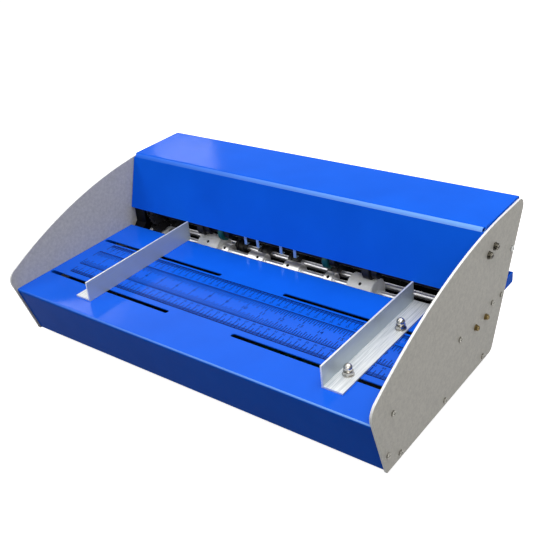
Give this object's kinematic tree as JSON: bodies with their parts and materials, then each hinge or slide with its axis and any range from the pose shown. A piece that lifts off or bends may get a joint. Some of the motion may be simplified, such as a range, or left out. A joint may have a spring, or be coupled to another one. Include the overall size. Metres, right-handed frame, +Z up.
{
  "type": "desktop paper creasing machine",
  "caption": "Desktop paper creasing machine: slotted feed table with sliding side guides, motor-driven creasing rollers under a hinged cover, delivery tray behind.",
  "frame": {"origin": "bottom centre of the whole machine, on the surface it stands on", "axes": "+X to the operator's right across the machine, +Y from the feed edge to the delivery side, +Z up"},
  "size_m": [0.5236, 0.3196, 0.1678],
  "materials": {
    "blue_powder_coat": "gloss powder coat",
    "grey_powder_coat": "fine satin powder coat",
    "zinc_plate": "bright zinc plate",
    "yellow_zinc": "yellow zinc plate",
    "black_oxide": "black oxide",
    "ground_steel": "ground and polished",
    "bearing_steel": "polished",
    "tool_steel": "hardened, ground",
    "white_nylon": "machined nylon",
    "black_rubber": "matt rubber",
    "green_urethane": "satin polyurethane",
    "gear_nylon": "moulded nylon",
    "mill_aluminium": "extruded, brushed",
    "cast_block": "machined",
    "nickel_plate": "bright nickel",
    "black_plastic": "moulded",
    "rocker_plastic": "moulded, red",
    "spring_steel": "blued spring strip",
    "board": "circuit board with parts",
    "motor_case": "painted steel"
  },
  "bodies": {
    "chassis": {"right_side_plate": "grey_powder_coat", "left_side_plate": "grey_powder_coat", "feed_table": "blue_powder_coat", "base_pan": "grey_powder_coat", "rear_panel": "blue_powder_coat", "output_tray": "blue_powder_coat", "hinge_screws": "zinc_plate", "cover_rests": "black_rubber", "right_bearing_block": "cast_block", "left_bearing_block": "cast_block", "shaft_bearings": "bearing_steel", "idler_pin": "ground_steel", "drive_belt": "black_rubber", "motor_bracket": "zinc_plate", "gear_motor": "motor_case", "motor_screws": "zinc_plate", "control_board": "board", "board_standoffs": "yellow_zinc", "power_inlet": "black_plastic", "switch_housing": "black_plastic", "speed_pot": "zinc_plate", "interlock_switch": "black_plastic", "plate_screws_right": "zinc_plate", "plate_screws_left": "zinc_plate", "bearing_bolts": "yellow_zinc", "finger_bar": "zinc_plate", "paper_fingers": "spring_steel", "rubber_feet": "black_rubber", "foot_screws": "zinc_plate"},
    "cover": {"top_cover": "blue_powder_coat"},
    "lower_front_roll": {"lower_front_shaft": "ground_steel", "feed_rollers": "white_nylon", "narrow_collars": "nickel_plate", "wide_collars": "nickel_plate", "set_screws": "black_oxide", "front_shaft_gears": "gear_nylon", "front_pulley": "mill_aluminium"},
    "lower_rear_roll": {"lower_rear_shaft": "ground_steel", "anvil_rings": "tool_steel", "rear_shaft_gears": "gear_nylon"},
    "upper_front_roll": {"upper_front_shaft": "ground_steel", "press_wheels": "black_rubber", "green_rings": "green_urethane", "upper_collars": "black_oxide", "upper_front_gear": "gear_nylon"},
    "upper_rear_roll": {"upper_rear_shaft": "ground_steel", "crease_blades": "tool_steel", "blade_hubs": "black_oxide", "upper_rear_gear": "gear_nylon"},
    "idler": {"idler_gear": "gear_nylon"},
    "motor_rotor": {"motor_pulley": "mill_aluminium"},
    "left_guide_set": {"left_guide": "mill_aluminium", "left_guide_clamps": "nickel_plate"},
    "right_guide_set": {"right_guide": "mill_aluminium", "right_guide_clamps": "nickel_plate"},
    "rocker": {"power_rocker": "rocker_plastic"},
    "knob": {"speed_knob": "black_plastic"},
    "plunger": {"interlock_plunger": "rocker_plastic"}
  },
  "joints": [
    {"name": "cover_hinge", "type": "hinge", "parent": "chassis", "child": "cover", "pos_m": [0.0051, 0.13234, 0.1154], "axis": [-1, 0, 0], "range_deg": [0, 90]},
    {"name": "feed_shaft_turn", "type": "hinge", "parent": "chassis", "child": "lower_front_roll", "pos_m": [0.0051, 0.06404, 0.0584], "axis": [1, 0, 0], "continuous": true},
    {"name": "anvil_shaft_turn", "type": "hinge", "parent": "chassis", "child": "lower_rear_roll", "pos_m": [0.0051, 0.08754, 0.0554], "axis": [1, 0, 0], "continuous": true},
    {"name": "press_shaft_turn", "type": "hinge", "parent": "chassis", "child": "upper_front_roll", "pos_m": [0.0051, 0.06404, 0.0882], "axis": [1, 0, 0], "continuous": true},
    {"name": "blade_shaft_turn", "type": "hinge", "parent": "chassis", "child": "upper_rear_roll", "pos_m": [0.0051, 0.08754, 0.0829], "axis": [1, 0, 0], "continuous": true},
    {"name": "idler_turn", "type": "hinge", "parent": "chassis", "child": "idler", "pos_m": [-0.2239, 0.07426, 0.04494], "axis": [1, 0, 0], "continuous": true},
    {"name": "motor_turn", "type": "hinge", "parent": "chassis", "child": "motor_rotor", "pos_m": [-0.1994, -0.05596, 0.04], "axis": [1, 0, 0], "continuous": true},
    {"name": "left_guide_slide", "type": "slide", "parent": "chassis", "child": "left_guide_set", "axis": [1, 0, 0], "range_m": [-0.0799, 0.1036]},
    {"name": "right_guide_slide", "type": "slide", "parent": "chassis", "child": "right_guide_set", "axis": [1, 0, 0], "range_m": [-0.14, 0.0445]},
    {"name": "power_rocker_tilt", "type": "hinge", "parent": "chassis", "child": "rocker", "pos_m": [-0.2414, -0.03496, 0.041], "axis": [0, 0, 1], "range_deg": [0, 14]},
    {"name": "speed_knob_turn", "type": "hinge", "parent": "chassis", "child": "knob", "pos_m": [-0.2544, 0.00904, 0.041], "axis": [-1, 0, 0], "range_deg": [0, 270]},
    {"name": "interlock_press", "type": "slide", "parent": "chassis", "child": "plunger", "axis": [0, 0, 1], "range_m": [-0.0012, 0], "stiffness_N_per_m": 200, "springref_m": 0.001}
  ],
  "couplings": [
    {"joint": "anvil_shaft_turn", "follows": "feed_shaft_turn", "ratio": 1},
    {"joint": "press_shaft_turn", "follows": "feed_shaft_turn", "ratio": -1},
    {"joint": "blade_shaft_turn", "follows": "feed_shaft_turn", "ratio": -1},
    {"joint": "idler_turn", "follows": "feed_shaft_turn", "ratio": -0.85714},
    {"joint": "motor_turn", "follows": "feed_shaft_turn", "ratio": 1.125}
  ]
}
